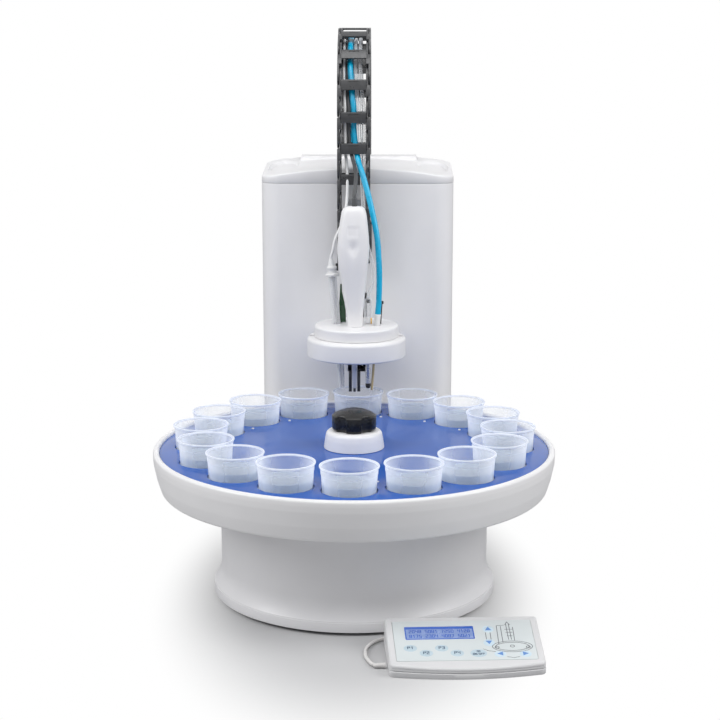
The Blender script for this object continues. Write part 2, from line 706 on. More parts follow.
def hub_and_knob():
    """The white cone, and the knob. At d degrees from a flute's middle the flute is
    FLUTE_DEEP * (1 - (d / FLUTE_HALF) ** 4) deep. The dome is KNOB_RIM + CROWN * (1 - (r / KNOB_R) ** 2)
    high and runs out to the flutes."""
    cone = [(6.4, 163.3, 0), (33.7, 163.3, 0.3), (33.5, 165.0, 1), (32.3, 174, 14), (30.4, 183.1, 5.5),
            (6.4, 183.1, 0)]
    put("carousel_hub", spin(cone, 120, 6, True), WHITE, "tray", ["tray_hub"])
    a = around(320)
    off = np.abs((a * FLUTES / TURN + 0.25) % 1 - 0.5) * (360 / FLUTES)
    side = KNOB_R - FLUTE_DEEP * np.clip(1 - (off / FLUTE_HALF) ** 4, 0, 1)

    def dome(r):
        """The height of the knob's top at a distance from its middle."""
        return KNOB_RIM + CROWN * (1 - (r / KNOB_R) ** 2)

    levels = [(0 * side + 4.6, 183.6), (side - 3.9, 183.5), (side - 1.4, 183.9), (side - 0.3, 185.2),
              (side, 187.0), (side, dome(side) - 1.0), (side - 0.12, dome(side) - 0.5),
              (side - 0.45, dome(side) - 0.12)]
    levels += [(side * t, dome(side * t)) for t in (0.96, 0.9, 0.8, 0.66, 0.5, 0.33, 0.16, 0.02)]
    rings = [level(np.column_stack([r * np.cos(a), r * np.sin(a)]), z) for r, z in levels]
    put("hand_knob_scalloped", stack(rings), SATIN, "knob", ["hand_knob"], 50)


def cups():
    """Sixteen tapered cups with a lip, a step under it, a foot ring and their liquid. Their
    profiles' heights are measured from the cup's foot."""
    wall = [(0, 1.9, 0), (20.5, 1.9, 0.5), (22.4, 0.6, 0.6), (23.2, 0, 0.4), (25.0, 0, 0.5), (25.6, 1.0, 0.6),
            (28.9, 55.4, 0.8), (29.35, 56.4, 0.6), (29.6, 62.6, 0.4), (30.6, 63.0, 0.4), (31.0, 63.8, 0.5),
            (30.9, 65.0, 0.4), (29.7, 65.0, 0.4), (29.0, 64.2, 0.5), (28.6, 62.0, 1), (28.35, 56.9, 0.6),
            (27.95, 55.6, 0.6), (24.7, 2.6, 0.8), (23.8, 2.5, 0.4), (0, 2.5, 0)]
    bore = 24.7 + (27.95 - 24.7) * (FILL - 2.6) / (55.6 - 2.6)
    wet = [(0, 2.65, 0), (23.9, 2.65, 0.6), (24.6, 3.6, 0.5), (bore - 0.2, FILL + 1.3, 0.1),
           (bore - 1.3, FILL + 0.2, 0.6), (0, FILL - 0.1, 0)]
    wall, wet = (np.array(profile) + [0, CUP_LOW, 0] for profile in (wall, wet))
    for k, at in enumerate(spots(HOLES_R), 1):
        put(f"cup_{k:02d}", spin(wall, 72, at=at), CUP, "tray", [f"beaker_{k:02d}"], 40)
        put(f"liquid_{k:02d}", spin(wet, 64, at=at), LIQUID, "tray", smooth=60)


# Base and tower
def base_outline(out, wall=0):
    """The base from above, a wall's thickness inside and let out by some millimetres: a drum in
    front whose straight sides run back to the tower. Its sides and back are never let out."""
    radius, less = BASE_R - wall + out, min(out, 0) - wall
    half = BASE_HALF + less
    meet = math.asin(math.sqrt(max(radius ** 2 - half ** 2, 0)) / radius)
    a = np.linspace(meet, -np.pi - meet, 121)
    drum = np.stack([radius * np.cos(a), radius * np.sin(a)], 1)
    closed = np.vstack([drum, [(drum[-1, 0], BASE_BACK + less), (drum[0, 0], BASE_BACK + less)]])
    radii = np.zeros(len(closed))
    radii[-2:] = 8
    return soften(closed, radii, 6, True)


def base_shell():
    """Rings of the base's outline: down the inside, then up the flared foot, lip groove, waist
    and round deck edge, with the cord's gland at the back. Over the foot the outline stands out
    by 7.3 (1 - t) ** 2 mm, where t runs from 0 to 1 over 22 mm of height."""
    inside = [(110, -4), (105, 0), (37, 0), (14.6, 5.5), (3.5, 5.5)]
    outside = [(3.5, 8.1), (3.9, FLARE), (13.2, FLARE), (13.7, 8.2), (13.8, 7.6), (14.6, 7.6), (15.0, 7.3)]
    outside += [(15.0 + 22 * t, 7.3 * (1 - t) ** 2) for t in (0.12, 0.25, 0.4, 0.55, 0.7, 0.85, 1.0)]
    outside += [(60, 0.0), (90, 0.0), (108, 0.0)]
    outside += [(DECK - 5 * (1 - math.sin(t)), -5 * (1 - math.cos(t)))
                for t in np.linspace(0.26, np.pi / 2, 5)]
    rings = [level(base_outline(out, WALL), z) for z, out in inside]
    rings += [level(base_outline(out), z) for z, out in outside]
    gland = [(3.0, 361, 0), (6.6, 361, 0), (6.6, 365.6, 0.4), (4.4, 367, 1.5), (3.4, 374.0, 0.4),
             (2.3, 374.0, 0)]
    gland = turned(spin(gland, 40, 3, True), TO_BACK, (GLAND_X, 0, CORD_Z + COIL_PITCH))
    put("base_shell", [stack(rings), gland], WHITE, "base", ["base_housing"])


def tower_outline(by=0.0):
    """The tower from above, moved inward by a distance."""
    return round_rect(BASE_HALF - by, TOWER_FRONT + by, BASE_BACK - by, TOWER_CORNER - by, 10)


def tower_shell():
    """The outline between the deck and the seam, with the arm's slot in front and the panel's
    opening at the back left out of both of its walls."""
    def ring(by):
        """The outline with the columns that the two openings need, in order round the tower."""
        columns = [(x, TOWER_FRONT + by) for x in (-60, -30, -SLOT_HALF, SLOT_HALF, 30, 60)]
        columns += [(x, BASE_BACK - by) for x in (OPENING_HALF, 40, 0, -40, -OPENING_HALF)]
        whole = np.vstack([tower_outline(by), columns])
        return whole[np.argsort(np.arctan2(whole[:, 1] - TOWER_MIDDLE, whole[:, 0]))]

    heights = [DECK + 0.3, 149.7, 199, 240, 299.4, 340, 380, 428.3, SEAM - 0.8]
    outer = np.stack([level(ring(0), z) for z in heights] + [level(ring(0.5), SEAM - 0.3)])
    inner = np.stack([level(ring(WALL), z) for z in heights + [SEAM - 0.3]])
    middle = (ring(0) + np.roll(ring(0), -1, 0)) / 2
    keep = np.ones((len(heights), len(middle)), bool)
    keep[2:4, (np.abs(middle[:, 0]) < SLOT_HALF) & (middle[:, 1] < TOWER_MIDDLE)] = False
    keep[1:7, (np.abs(middle[:, 0]) < OPENING_HALF) & (middle[:, 1] > TOWER_MIDDLE)] = False
    put("tower_shell", pierced_wall(outer, inner, keep), WHITE, "base", ["tower_housing"])


def tower_cap():
    """A lid whose top is z = LID_TOP - sag(x) (1 - 0.45 t) + 6 t, where t runs from 0 at the front
    to 1 at the back, with oval dishes and the ledge at the back. sag is a circle's, 12 mm at the
    sides. Its points run from the rim inwards to the middle in the outline's own shape."""
    crown_r = (BASE_HALF ** 2 + 12 ** 2) / (2 * 12)
    dish_x, dish_half, dish_deep, edge = 94, (19.5, 44), 4.0, 2.6

    def top(xy):
        """The height of the lid's top at flat points."""
        x, y = xy[:, 0], xy[:, 1]
        t = (y - TOWER_FRONT) / (BASE_BACK - TOWER_FRONT)
        z = LID_TOP - (crown_r - np.sqrt(crown_r ** 2 - x ** 2)) * (1 - 0.45 * t) + 6 * t
        for side in (-1, 1):
            u = np.hypot((x - side * dish_x) / dish_half[0], (y - TOWER_MIDDLE) / dish_half[1])
            z = z - dish_deep * (1 - smooth_step(u, 0.88, 1.03))
        raised = (1 - smooth_step(np.abs(x), 73.6, 75.2)) * smooth_step(y, 328.6, 330.2)
        raised = raised * (1 - smooth_step(y, 361.2, 362.2))
        return z + raised * np.maximum(LEDGE_TOP - z, 0)

    dense = []
    outline = tower_outline()
    for a, b in zip(outline, np.roll(outline, -1, 0)):
        parts = max(2, int(np.linalg.norm(b - a) / 1.6) + 1)
        dense.append(a + (b - a) * np.linspace(0, 1, parts)[:-1, None])
    dense = np.vstack(dense)
    rings = [level(inset(dense, 0.4), SEAM), level(dense, SEAM + 0.5)]
    start = inset(dense, 3.0)
    rim = top(start)
    for t in np.linspace(0, np.pi / 2, 7):
        rings.append(level(inset(dense, edge * (1 - math.cos(t))), rim - edge * (1 - math.sin(t))))
    middle = np.array([0, TOWER_MIDDLE])
    for share in np.concatenate([np.linspace(1, 0.62, 100)[1:], np.linspace(0.62, 0.0, 70)[1:-1]]):
        flat = middle + (start - middle) * share
        rings.append(level(flat, top(flat)))
    put("tower_lid", stack(rings), CAP_WHITE, "base", ["tower_cap"], 40)


# Holder. Places are measured from its axis, which stands at x 0, and leans are in degrees
HOLDER_Y = 171.0
TIPS, DISC_LOW, DISC_TOP = 191.0, 245.6, 271.4
COLLAR_LOW, COLLAR_TOP = 233.3, 257.3
GLASS_AT, GLASS_LEAN = (-18.2, 6.0), -4.5
PROBE_AT = (14.0, 7.0)
DOSING_AT, DOSING_LEAN = (18.5, -5.0), 4.4
STRIP_AT = (-16.5, 13.0)
VENT_AT, VENT_LEAN = (29.2, 4.0), 3.4
STIRRER_AT = (-2.2, -14.0)


def lean(form, xy, degrees, z=TIPS):
    """A form whose own z axis leans sideways from its foot, which stands in the holder."""
    t = math.radians(degrees)
    axes = [(math.cos(t), 0, -math.sin(t)), (0, 1, 0), (math.sin(t), 0, math.cos(t))]
    return turned(form, axes, (xy[0], HOLDER_Y + xy[1], z))


def spread_rings(path, wide, deep, squared=2.5, steps=112):
    """Upright rings about a list of (x, y, z), each a superellipse with its own half sizes: its
    points lie (|cos a| ** squared + |sin a| ** squared) ** (-1 / squared) of them away."""
    a = around(steps)
    c, s = np.cos(a), np.sin(a)
    q = (np.abs(c) ** squared + np.abs(s) ** squared) ** (-1 / squared)
    p = np.asarray(path, float)[:, None]
    return np.stack([p[..., 0] + np.asarray(wide)[:, None] * c * q,
                     p[..., 1] + np.asarray(deep)[:, None] * s * q,
                     np.broadcast_to(p[..., 2], (len(p), steps))], -1)


def holder_ring():
    """The profile turned about the holder's axis. Its top falls by 11 mm in the two notches,
    where a point lies within 3.6 mm of the x axis and r lies between 50.8 and 55.8."""
    profile = soften([(44, COLLAR_LOW), (59.5, COLLAR_LOW), (59.5, COLLAR_TOP), (44, COLLAR_TOP)],
                     [0.8, 2.2, 4.6, 0.8], 8, True)
    flat = np.array([(r, COLLAR_TOP) for r in (54.6, 53, 51.1, 50.9, 50.7)])
    cut = np.argmax((profile[:, 1] > COLLAR_TOP - 0.01) & (profile[:, 0] < 55) & (profile[:, 0] > 50)) + 1
    profile = np.vstack([profile[:cut], flat, profile[cut:]])
    near = 3.6 / 53.3
    fine = np.array([-near - 0.004, -near, near, near + 0.004])
    a = np.unique(np.concatenate([around(144), (fine + TURN) % TURN, fine + np.pi]).round(6))
    notch = np.abs(np.sin(a)) < math.sin(near) + 1e-5
    rings = []
    for r, z in profile:
        deep = 11.0 * notch * (50.8 < r < 55.8) * (z > 250)
        rings.append(np.column_stack([r * np.cos(a), HOLDER_Y + r * np.sin(a), z - deep]))
    put("holder_collar", hoop(rings), WHITE, "arm", ["holder_ring"], 40)


def holder_disc():
    """Turned rings with a rounded brim, pierced by one hole for each rod."""
    profile = [(43.2, DISC_LOW), (43.7, DISC_LOW + 0.5), (43.7, 257.6), (50.3, 257.6), (50.8, 258.1),
               (50.8, 268.8)]
    profile += [(48.3 + 2.5 * math.cos(t), 268.9 + 2.5 * math.sin(t)) for t in np.linspace(0.1, np.pi / 2, 6)]
    profile += [(46.4, DISC_TOP)]
    rings = [level(circle(0, HOLDER_Y, r, 120), z) for r, z in profile]
    holes = []
    for (x, y), leans, r, foot in ((GLASS_AT, GLASS_LEAN, 5.4, TIPS), (PROBE_AT, 0, 5.2, TIPS),
                                   (DOSING_AT, DOSING_LEAN, 4.8, TIPS), (STRIP_AT, 0, 1.9, TIPS),
                                   (STIRRER_AT, 0, 4.0, TIPS), (VENT_AT, VENT_LEAN, 1.0, DISC_TOP)):
        slope = math.tan(math.radians(leans))
        holes.append(tuple(circle(x + (z - foot) * slope, HOLDER_Y + y, r) for z in (DISC_LOW, DISC_TOP)))
    put("holder_insert", pierced(rings, holes, 0.4), WHITE, "arm", ["holder_disc"], 40)


def glass_electrode():
    """A leaning tube with a narrow tip, its core and cap, and the clip on its cable. Heights are
    measured along it from its tip."""
    tube = [(0, 0, 0), (2.2, 0.4, 0.8), (3.3, 2.6, 2), (3.3, 42.5, 1), (5.0, 46.5, 1), (5.0, 139.4, 0.2),
            (4.2, 139.4, 0.2), (4.2, 47.0, 1), (2.6, 43.2, 1), (2.6, 3.2, 1), (1.6, 1.4, 0.5), (0, 1.0, 0)]
    core = [(0, 3, 0), (1.2, 3, 0.5), (1.2, 60, 1), (2.6, 64, 1), (2.6, 138.8, 0.3), (0, 138.8, 0)]
    cap = [(0, 138.9, 0), (7.9, 138.9, 0.3), (8.3, 139.4, 0.5), (8.3, 141.6, 0.7), (5.7, 142.4, 0.6),
           (5.5, 147.2, 0.5), (6.2, 147.6, 0.5), (6.2, 150.0, 0.8), (4.2, 151.0, 1), (3.4, 155.0, 1.5),
           (2.3, 159.5, 0.5), (0, 159.5, 0)]
    put("glass_tube", lean(spin(tube, 48, 4), GLASS_AT, GLASS_LEAN), TUBE, "arm", ["glass_electrode"])
    put("glass_core", lean(spin(core, 32), GLASS_AT, GLASS_LEAN), PEARL, "arm")
    put("glass_cap", lean(spin(cap, 48, 4), GLASS_AT, GLASS_LEAN), WIRE, "arm")
    put("cable_clip", block((-25.6, HOLDER_Y + 12.5, 334.5), (-22.4, HOLDER_Y + 15.5, 343.5)), BLACK, "arm")


def strip_electrode():
    """A green strip, cut to an outline seen from the front, on a thin steel rod."""
    y = HOLDER_Y + STRIP_AT[1]
    outline = [(-19.8, 271.7), (-13.0, 271.7), (-13.4, 286), (-14.9, 296), (-17.7, 309), (-18.0, 318.2),
               (-18.9, 318.7), (-19.9, 318.2), (-20.4, 308), (-21.2, 296), (-20.8, 285)]
    rod = [(0, TIPS, 0), (1.5, TIPS, 0.7), (1.5, 272, 0.1), (0, 272, 0)]
    put("strip_blade", turned(slab(outline, -1.2, 1.2, 0.3, 2), TO_FRONT, (0, y, 0)), GREEN, "arm",
        ["strip_electrode"])
    put("strip_rod", spin(rod, 24, at=(STRIP_AT[0], y)), STEEL, "arm")


def temperature_probe():
    """Clear body on a steel shaft with a black tip, its joint and a gilt contact at its side, and
    the leaning vent pin beside it."""
    x, y = at = (PROBE_AT[0], HOLDER_Y + PROBE_AT[1])
    shaft = [(0, 197, 0), (3.2, 197, 0.3), (3.2, 238, 1), (4.8, 241, 1), (4.8, 246, 0.1), (0, 246, 0)]
    tip = [(0, TIPS, 0), (2.4, TIPS, 0.8), (3.3, 193.5, 1), (3.3, 196.9, 0.2), (0, 196.9, 0)]
    body = [(0, 246.1, 0), (4.8, 246.1, 0.2), (4.8, 297, 2), (3.6, 301.5, 1), (2.4, 303, 0.5), (0, 303, 0)]
    joint = [(0, 296.3, 0), (2.0, 296.3, 0.4), (2.0, 300.5, 0.4), (0, 300.5, 0)]
    pin = [(0, -9, 0), (0.7, -9, 0.1), (0.7, 24, 0.1), (1.9, 24.5, 0.5), (1.9, 27.6, 0.7), (0, 28.2, 0)]
    put("probe_shaft", spin(shaft, 32, at=at), STEEL, "arm")
    put("probe_tip", spin(tip, 32, at=at), BLACK, "arm")
    put("probe_body", spin(body, 48, 4, at=at), TUBE, "arm", ["temperature_probe"])
    put("probe_joint", spin(joint, 20, 2, at=at), BLACK, "arm")
    put("probe_contact", block((x + 3.0, y - 5.4, 271.6), (x + 4.8, y - 4.0, 279.0), 0.4), GOLD, "arm")
    put("vent_pin", lean(spin(pin, 24), VENT_AT, VENT_LEAN, DISC_TOP), BLACK, "arm")


def stirrer_body():
    """Superellipses whose half sizes follow a curve through measured levels, with a shallow
    recess and a thumb dimple in front and the shaft's bore from below."""
    tall, low, bore_top = 144.1, 271.7, 283.7
    shares = np.array([(0.00, 0.47, 0.62), (0.11, 0.53, 0.66), (0.21, 0.62, 0.73), (0.32, 0.72, 0.80),
                       (0.42, 0.83, 0.89), (0.52, 0.94, 0.97), (0.63, 1.00, 1.00), (0.72, 0.985, 0.98),
                       (0.82, 0.91, 0.92), (0.92, 0.81, 0.80), (0.97, 0.72, 0.68), (0.993, 0.56, 0.52),
                       (1.00, 0.40, 0.36)])
    curve = even(shares * [tall, 18.9, 15.0], 1.9)
    z = np.clip(curve[:, 0], 0, tall)
    z = np.maximum.accumulate(z + np.arange(len(z)) * 1e-4)
    x0, y0 = STIRRER_AT[0], HOLDER_Y + STIRRER_AT[1]
    aside = 0.8 - 2.2 * smooth_step(z, 0, 85) + 0.7 * smooth_step(z, 90, 144)
    path = np.column_stack([x0 + aside, np.full(len(z), y0), low + z * 144.0 / z[-1]])
    rings = spread_rings(path, curve[:, 1], curve[:, 2])
    front = rings[..., 1] < y0
    x, up = rings[..., 0] - x0 - aside[:, None], rings[..., 2]
    recess = smooth_step(7.4 - np.abs(x), 0, 0.9) * smooth_step(up, 379.4, 381.4)
    recess = recess * smooth_step(-up, -393.2, -392.4)
    dimple = np.exp(-(x / (3.0 + 0.22 * np.clip(up - 358, 0, 20))) ** 2 - ((up - 366.5) / 7.5) ** 2)
    rings[..., 1] += np.where(front, 0.45 * recess + 2.2 * dimple, 0)
    bore = circle(x0, y0, 4.0)
    body = sunk(rings, [level(bore, low), level(bore, bore_top)])
    put("stirrer_body", body, WHITE, "arm", ["stirrer_housing"], 45)


def stirrer_shaft():
    """White sleeve, with a black foot and two tall paddle blades."""
    x, y = at = (STIRRER_AT[0], HOLDER_Y + STIRRER_AT[1])
    sleeve = [(0, 195, 0), (1.2, 195, 0.3), (3.4, 197, 1.2), (3.4, 282.8, 0.4), (0, 282.8, 0)]
    foot = [(0, TIPS, 0), (1.6, TIPS, 0.5), (1.6, 196, 0.1), (0, 196, 0)]
    put("stirrer_rod", spin(sleeve, 40, at=at), PEARL, "stirrer", ["stirrer_shaft"])
    blades = [block((x + low, y - 0.7, TIPS), (x + high, y + 0.7, 217), 0.5) for low, high in spans(3.2, 7.0)]
    put("stirrer_paddle", [spin(foot, 24, 2, at=at)] + blades, BLACK, "stirrer")


def dosing_tip():
    """The leaning dosing tube below its hose: a thin amber tip in a pale fitting."""
    fitting = [(0, 60.5, 0), (2.2, 60.5, 0.4), (3.7, 62, 1), (3.7, 91.6, 0.3), (3.9, 92, 0.3), (3.9, 94, 0.4),
               (0, 94, 0)]
    tip = [(0, 0, 0), (1.0, 0, 0.2), (1.5, 3, 0.6), (1.5, 61, 0.1), (0, 61, 0)]
    put("dosing_fitting", lean(spin(fitting, 40), DOSING_AT, DOSING_LEAN), WIRE, "arm")
    put("dosing_tip", lean(spin(tip, 24), DOSING_AT, DOSING_LEAN), AMBER, "arm")


# Cable chain: its middle, the height of its first bending joint, its links' sizes and tilts
CHAIN_X, CHAIN_Y, TOP_JOINT = -4.0, 217.0, 528.0
PITCH, LINK_HALF = 37.2, 11
BORE_HALF, TONGUE_OUT, FORK_IN, FORK_OUT = 14.7, 17.1, 17.6, 20.0
TILTS = [0.0] * 3 + [math.radians(11.7508) + i * math.pi / 7 for i in range(7)] + [math.pi]


def pivots():
    """Each pivot's place in y and z: steps of one pitch along the tilts of the links."""
    places = [np.array([CHAIN_Y, TOP_JOINT - 3 * PITCH])]
    for tilt in TILTS[:-1]:
        places.append(places[-1] + PITCH * np.array([math.sin(tilt), math.cos(tilt)]))
    return places


PIVOTS = pivots()


def at_link(form, i):
    """A form in a link's own frame (z along the link) put at the link's pivot and tilt."""
    t = TILTS[i]
    axes = [(1, 0, 0), (0, math.cos(t), -math.sin(t)), (0, math.sin(t), math.cos(t))]
    return turned(form, axes, (CHAIN_X, *PIVOTS[i]))


def link_outline(hx, hy, dent=0.0):
    """A rounded oblong, anticlockwise, whose two long sides may be dented for |x| < 6."""
    out, r = [], 1.2
    dented = [(6.35, 0), (6, dent), (-6, dent), (-6.35, 0)]
    for right, up, start in ((1, -1, -90), (1, 1, 0), (-1, 1, 90), (-1, -1, 180)):
        for t in np.radians(start + 30 * np.arange(4)):
            out.append((right * (hx - r) + r * math.cos(t), up * (hy - r) + r * math.sin(t)))
        if right == up:
            out += [(up * x, up * (hy - d)) for x, d in dented]
    return np.array(out)


def chain_frame(low, high, wide=FORK_OUT):
    """The four-sided body of a link: rounded edges inside and out, and one groove across."""
    groove = low + 0.78 * (high - low)
    rounding = [(0.5, 0), (0.15, 0.15), (0, 0.5)]
    outside = [(by, low + up, 0) for by, up in rounding]
    outside += [(0, groove + up, dent) for up, dent in ((-0.6, 0), (-0.35, 0.7), (0.35, 0.7), (0.6, 0))]
    outside += [(by, high - up, 0) for by, up in rounding[::-1]]
    inside = [(0.4, high), (0, high - 0.4), (0, low + 0.4), (0.4, low)]
    rings = [level(link_outline(wide - by, LINK_HALF - by, dent), z) for by, z, dent in outside]
    rings += [level(link_outline(BORE_HALF + by, 8.5 + by), z) for by, z in inside]
    return hoop(rings)


def ear_outline(start, pivot):
    """A bar from start whose far end is round about its pivot."""
    way = 1 if pivot > start else -1
    t = np.linspace(0, np.pi, 19)
    tip = np.column_stack([LINK_HALF * np.cos(t), pivot + way * LINK_HALF * np.sin(t)])
    return anticlockwise(np.vstack([tip, [(-LINK_HALF, start), (LINK_HALF, start)]]))


def chain_ears(fork=None, tongue=None, joint=0.0):
    """Side plates: fork ears from a level down to the pivot at 0, with a hole, and tongue ears
    from a level up to the pivot at joint, with their pins."""
    forms = []
    pin = [(0, 16.8, 0), (3.0, 16.8, 0.1), (3.0, 19.6, 0.5), (1.6, 19.6, 0.2), (1.2, 19.0, 0.2), (0, 19.0, 0)]
    for k, side in enumerate((-1, 1)):
        if fork is not None:
            rings = edge_rings(ear_outline(fork, 0), *spans(FORK_IN, FORK_OUT)[k], 0.45, 2)
            forms.append(turned(pierced(rings, [circle(0, 0, 3.5, 24)], 0.25), TO_RIGHT))
        if tongue is not None:
            ear = slab(ear_outline(tongue, joint), *spans(BORE_HALF, TONGUE_OUT)[k], 0.45, 2)
            forms.append(turned(ear, TO_RIGHT))
            points, faces = turned(spin(pin, 24, 2), TO_RIGHT, (0, 0, joint))
            forms.append(outward((points * [side, 1, 1], faces)))
    return forms


def chain_link():
    """Sides from 11.6 to 25.6 up the link, crossbars between the ears above, and the ears."""
    return [chain_frame(19.6, 32.4, 17.0)] + side_bars(11.6, 25.6) + chain_ears(12.8, 24.4, PITCH)


def side_bars(low, high):
    """Two long side plates between two heights, with rounded edges."""
    return [block((left, -LINK_HALF, low), (right, LINK_HALF, high))
            for left, right in spans(BORE_HALF, FORK_OUT)]


def chain():
    """Ten links at their pivots, the mount below them and the hanging rear run."""
    pattern = chain_link()
    for i in range(10):
        put(f"chain_segment_{i + 1:02d}", [at_link(f, i) for f in pattern], CHAIN,
            "arm" if i < 3 else "chain_arch", [f"chain_link_{i + 1:02d}"], 40)
    mount = [chain_frame(-76, -62), chain_frame(-25.5, -11.5)] + side_bars(-62.6, -24.9)
    mount += chain_ears(None, -12.7)
    mount += [block((19.5, -LINK_HALF, -62), (22, LINK_HALF, -25.5), 0.5),
              block((-15, 8.5, -62.5), (15, LINK_HALF, -25), 0.5),
              block((-10, 8.6, -62), (10, LINK_HALF + 0.2, -25.5), 0.5)]
    put("chain_bracket", [at_link(f, 0) for f in mount], CHAIN, "arm", ["chain_mount"], 40)
    tail = [(f, i) for i in range(3) for f in pattern]
    tail += [(f, 3) for f in chain_ears(11.6) + [chain_frame(10.9, 18.0)]]
    tail = [at_link((points + [0, 0, PITCH * i], faces), 10) for (points, faces), i in tail]
    put("chain_rear_run", tail, CHAIN, "chain_end", ["chain_tail"], 40)


def chain_spot(i, along, across, inward):
    """A point in a link: along from its pivot, across to the right, inward to the arch's middle."""
    c, s = math.cos(TILTS[i]), math.sin(TILTS[i])
    y, z = PIVOTS[i] + along * np.array([s, c]) + inward * np.array([c, -s])
    return (CHAIN_X + across, y, z)


def hose(name, skin, radius, start, first, top, end, ridge=None, nodes=(), rear_nodes=()):
    """One hose in two meshes that meet in the arch. start is its way up to the chain, first its
    place across and inward at the arch's first joint, top over the arch and end in the rear run.
    Each mesh bends at the one joint that it crosses."""
    half, bend = PITCH / 2, 0.016
    halfway = [(a + b) / 2 for a, b in zip(first, top)]
    front = list(start) + [chain_spot(3, 0, *first), chain_spot(3, half, *halfway)]
    front += [chain_spot(i, half, *top) for i in (4, 5, 6)]
    back = [chain_spot(i, half, *top) for i in (7, 8, 9)]
    back += [chain_spot(10, along, *end) for along in (0, half, 60, 111)]
    whole = even(np.vstack([front, back]), 3.0)
    cut = int(np.argmin(np.linalg.norm(whole - np.array(front[-1]), axis=1)))
    made = put(f"{name}_front", sweep(whole[:cut + 1], radius, 20, ridge), skin, nodes=nodes)
    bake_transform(made)
    made = put(f"{name}_rear", sweep(whole[cut:], radius, 20, ridge), skin, nodes=rear_nodes)
    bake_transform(made)


def hoses():
    """The five lines in the chain. Their ways up are measured from the holder's axis."""
    def up(route):
        """A route measured from the holder's axis, at its place in the scene."""
        return [(x, HOLDER_Y + y, z) for x, y, z in route]

    slope = math.tan(math.radians(DOSING_LEAN))
    blue = [(DOSING_AT[0] + (z - TIPS) * slope, DOSING_AT[1], z) for z in (283.5, 290.0)]
    blue += [(26.9, -4.0, 300), (27.4, -3.0, 334), (25.2, 1, 372), (20.6, 6, 398), (14.5, 13, 424),
             (7.2, 22.5, 449), (2.8, 32.5, 461), (0.2, 40.5, 471), (-1.8, 45.2, 482), (-3.4, 46, 497),
             (-4, 46, 510)]
    hose("blue_hose", HOSE, 3.5, up(blue), (0, 0), (-4.5, 1.2), (-4.5, 2.0), nodes=["dosing_tube"],
         rear_nodes=["tube_arch", "tube_tail"])
    dark = [(-2.2, -14.0, 415.5), (-2.1, -13.2, 423), (-2.2, -12.5, 429), (-1.2, -4, 440), (-0.9, 11, 450),
            (-2.6, 25.5, 459), (-5.6, 38.5, 469), (-8.6, 45, 481), (-9.9, 46, 495), (-10.3, 46, 510)]
    hose("stirrer_lead", CABLE, 2.3, up(dark), (-6.3, 0), (-8.3, 6.0), (-9.2, 5.6), nodes=["stirrer_cable"])
    t = math.radians(GLASS_LEAN)
    pale = [(GLASS_AT[0] + s * math.sin(t), GLASS_AT[1], TIPS + s * math.cos(t)) for s in (158.5, 162)]
    pale += [(-28.6, 6.5, 360), (-25.5, 8, 374), (-19, 13, 389), (-13.5, 22, 407), (-11.5, 32, 430),
             (-12.0, 40, 452), (-13.6, 45, 472), (-14.8, 46, 500)]
    hose("electrode_lead", WIRE, 1.8, up(pale), (-10.8, 0), (-12.2, 4.0), (-12.2, 2.0),
         nodes=["electrode_cable"])
    clear = [(14, 7, 302.5), (14.6, 7, 308), (18.6, 7, 317), (20.4, 7.5, 326), (19.6, 8.5, 340),
             (16.2, 10.5, 354), (11.8, 15, 374), (8.6, 21, 400), (6.6, 28, 430), (6.0, 32.5, 448),
             (5.4, 39, 461), (5.0, 44.4, 471), (4.2, 46, 483), (3.0, 46, 497), (2.2, 46, 510)]
    hose("clear_hose", TUBE, 2.1, up(clear), (6.0, 0), (1.9, 3.2), (1.6, 2.4))
    cover = [(8.1, 50, z) for z in (352, 400, 470, 505)]
    hose("clear_cover", TUBE, 2.4, up(cover), (12.0, 3.0), (7.6, 3.0), (7.4, 2.0), ridge=(0.4, 3.2))
    boot = [(0, 0, 0), (3.6, 0, 0.6), (3.4, 2.6, 0.8), (2.9, 9.5, 1), (2.35, 10.5, 0.4), (0, 10.5, 0)]
    points, faces = spin(boot, 32)
    put("stirrer_boot", (points + [-2.15, HOLDER_Y - 13.9, 415.2], faces), CABLE, "arm")


# Arm, rear panel and what sits in it
PANEL_Z, PANEL_BACK = 289, 365
SOCKETS_Z, PORTS_X, INLET_X, SWITCH_X = 185, (20, 60), -22, -52


def lift_arm():
    """Arm with a hollow front against the collar, carriage with three bores, and the post."""
    x = np.linspace(-10, 10, 9)
    front = np.column_stack([x, HOLDER_Y + np.sqrt(59.9 ** 2 - x ** 2)])
    arm = slab(np.vstack([front, [(10, 292), (-10, 292)]]), 236, 256, 0.7)
    bores = [circle(x, 292, r) for x, r in ((-28, 4.5), (0, 5.5), (28, 4.5))]
    carriage = pierced(edge_rings(round_rect(39, 277, 307, 2.5), 225, 267, 0.8), bores)
    post = block((-14, 228.5, 246), (6, 233.5, 416.2), 0.8)
    put("arm_and_post", [arm, carriage, post], PAINT, "arm", ["lift_arm"])


def rear_panel():
    """Flat panel with a hole for the switch and each socket, and the chain pocket's three walls."""
    flat = box_outline(0, PANEL_Z, 160, 278, 2.0)
    holes = [box_outline(SWITCH_X, SOCKETS_Z, 14, 22, 0.8), circle(INLET_X, SOCKETS_Z, 5.5)]
    holes += [box_outline(x, SOCKETS_Z, 30, 11, 1.0) for x in PORTS_X]
    panel = turned(pierced(edge_rings(flat, -PANEL_BACK, WALL - PANEL_BACK, 0.4, 2), holes), TO_FRONT)
    pocket = [(20.5, 364.6), (20.5, 399.7), (-28.5, 399.7), (-28.5, 364.6), (-25.5, 364.6), (-25.5, 396.7),
              (17.5, 396.7), (17.5, 364.6)]
    pocket = slab(soften(pocket, [0, 3, 3, 0, 0, 1, 1, 0], 4, True), 377.7, 427.7, 0.6)
    put("rear_cover", [panel, pocket], WHITE, "base", ["rear_panel"])


